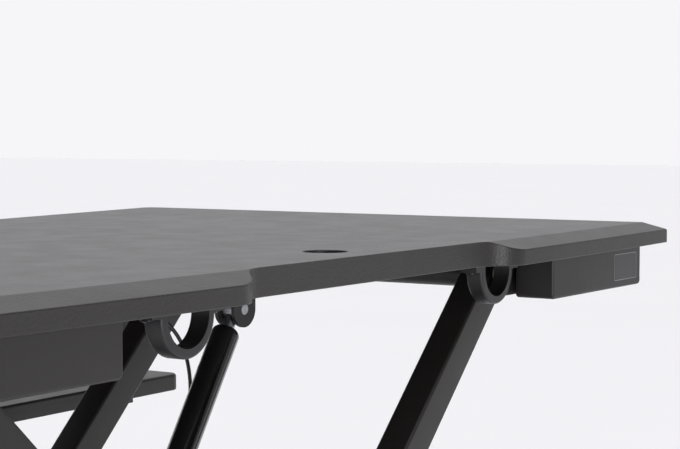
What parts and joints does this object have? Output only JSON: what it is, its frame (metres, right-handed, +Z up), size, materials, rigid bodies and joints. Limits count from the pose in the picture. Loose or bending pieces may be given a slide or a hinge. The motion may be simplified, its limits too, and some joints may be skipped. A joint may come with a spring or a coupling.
{
  "type": "standing desk converter",
  "caption": "Height-adjustable desktop riser: a bevelled worktop and hanging keyboard tray lifted level by sideways scissor frames and a central gas spring.",
  "frame": {"origin": "on the desk surface, under the middle of the whole unit in its raised pose", "axes": "+Z up, +Y to the rear edge, +X to the right of a user who faces the unit"},
  "size_m": [0.95, 0.7179, 0.5907],
  "materials": {
    "board": "charcoal foil with a fine pebble grain",
    "black_steel": "satin black powder coat",
    "gloss_steel": "gloss black lacquer",
    "rod_steel": "ground and hard chromed",
    "zinc_steel": "zinc plated",
    "screws": "black oxide",
    "black_plastic": "moulded, fine texture",
    "nylon": "moulded natural nylon",
    "cable_jacket": "extruded",
    "rubber": "moulded"
  },
  "bodies": {
    "base": {"base_rail_rear": "black_steel", "base_rail_front": "black_steel", "base_plate_left": "black_steel", "base_plate_right": "black_steel", "base_feet": "rubber"},
    "outer_frame": {"outer_arm_rear": "black_steel", "outer_arm_front": "black_steel", "outer_ends_rear": "black_plastic", "outer_ends_front": "black_plastic", "outer_head_tube": "black_steel", "outer_foot_tube": "black_steel", "middle_bolt_rear": "screws", "middle_bolt_front": "screws"},
    "inner_frame": {"inner_arm_rear": "black_steel", "inner_arm_front": "black_steel", "inner_ends_rear": "black_plastic", "inner_ends_front": "black_plastic", "inner_head_tube": "black_steel", "inner_foot_tube": "black_steel"},
    "top": {"worktop": "board", "upper_rail_rear": "black_steel", "upper_rail_front": "black_steel", "head_bracket_rear": "black_steel", "head_bracket_front": "black_steel", "rear_box_left": "black_steel", "rear_box_right": "black_steel", "cable_clip_left": "black_plastic", "cable_clip_right": "black_plastic", "clip_screws": "screws", "keyboard_tray": "board", "tray_hanger_left": "black_steel", "tray_hanger_right": "black_steel", "tray_screws": "screws", "spring_fork": "black_steel", "spring_pin": "zinc_steel", "lever_bracket": "black_steel", "lever_pin": "zinc_steel", "release_cable": "cable_jacket", "cable_ferrule": "zinc_steel"},
    "lever": {"release_lever": "black_plastic"},
    "spring_tube": {"gas_cylinder": "gloss_steel", "rod_guide": "black_plastic", "spring_eye": "zinc_steel", "cable_saddle": "black_plastic"},
    "spring_rod": {"gas_rod": "rod_steel", "rod_seat": "zinc_steel"},
    "head_wheel_rear": {"head_roller_rear": "nylon"},
    "head_wheel_front": {"head_roller_front": "nylon"},
    "foot_wheel_rear": {"foot_roller_rear": "nylon"},
    "foot_wheel_front": {"foot_roller_front": "nylon"}
  },
  "joints": [
    {"name": "lift", "type": "hinge", "parent": "base", "child": "outer_frame", "pos_m": [0.306, 0.133, 0.0205], "axis": [0, -1, 0], "range_deg": [0, 32.39]},
    {"name": "scissor_middle", "type": "hinge", "parent": "outer_frame", "child": "inner_frame", "pos_m": [0.023, 0.133, 0.28885], "axis": [0, -1, 0], "range_deg": [-64.8, 0.02]},
    {"name": "top_level", "type": "hinge", "parent": "inner_frame", "child": "top", "pos_m": [0.306, 0.133, 0.5572], "axis": [0, -1, 0], "range_deg": [-0.02, 32.41]},
    {"name": "spring_swing", "type": "hinge", "parent": "top", "child": "spring_tube", "pos_m": [-0.047, 0.19, 0.5427], "axis": [0, -1, 0], "range_deg": [-0.02, 34.96], "deforming": ["release_cable"]},
    {"name": "rod_slide", "type": "slide", "parent": "spring_tube", "child": "spring_rod", "axis": [0.56, 0, -0.8285], "range_m": [-0.2524, 0.0002]},
    {"name": "lever_squeeze", "type": "hinge", "parent": "top", "child": "lever", "pos_m": [0.29, -0.16, 0.5587], "axis": [-1, 0, 0], "range_deg": [0, 10], "stiffness_Nm_per_rad": 1.2, "springref_deg": -20.05},
    {"name": "head_roll_rear", "type": "hinge", "parent": "outer_frame", "child": "head_wheel_rear", "pos_m": [-0.26, 0.296, 0.5572], "axis": [0, 1, 0], "continuous": true},
    {"name": "head_roll_front", "type": "hinge", "parent": "outer_frame", "child": "head_wheel_front", "pos_m": [-0.26, -0.03, 0.5572], "axis": [0, 1, 0], "continuous": true},
    {"name": "foot_roll_rear", "type": "hinge", "parent": "inner_frame", "child": "foot_wheel_rear", "pos_m": [-0.26, 0.296, 0.0205], "axis": [0, 1, 0], "continuous": true},
    {"name": "foot_roll_front", "type": "hinge", "parent": "inner_frame", "child": "foot_wheel_front", "pos_m": [-0.26, -0.03, 0.0205], "axis": [0, 1, 0], "continuous": true}
  ],
  "couplings": [
    {"joint": "scissor_middle", "follows": "lift", "ratio": -2},
    {"joint": "top_level", "follows": "lift", "ratio": 1},
    {"joint": "spring_swing", "follows": "lift", "ratio": 1.0788},
    {"joint": "rod_slide", "follows": "lift", "m_per_rad": -0.44613}
  ]
}
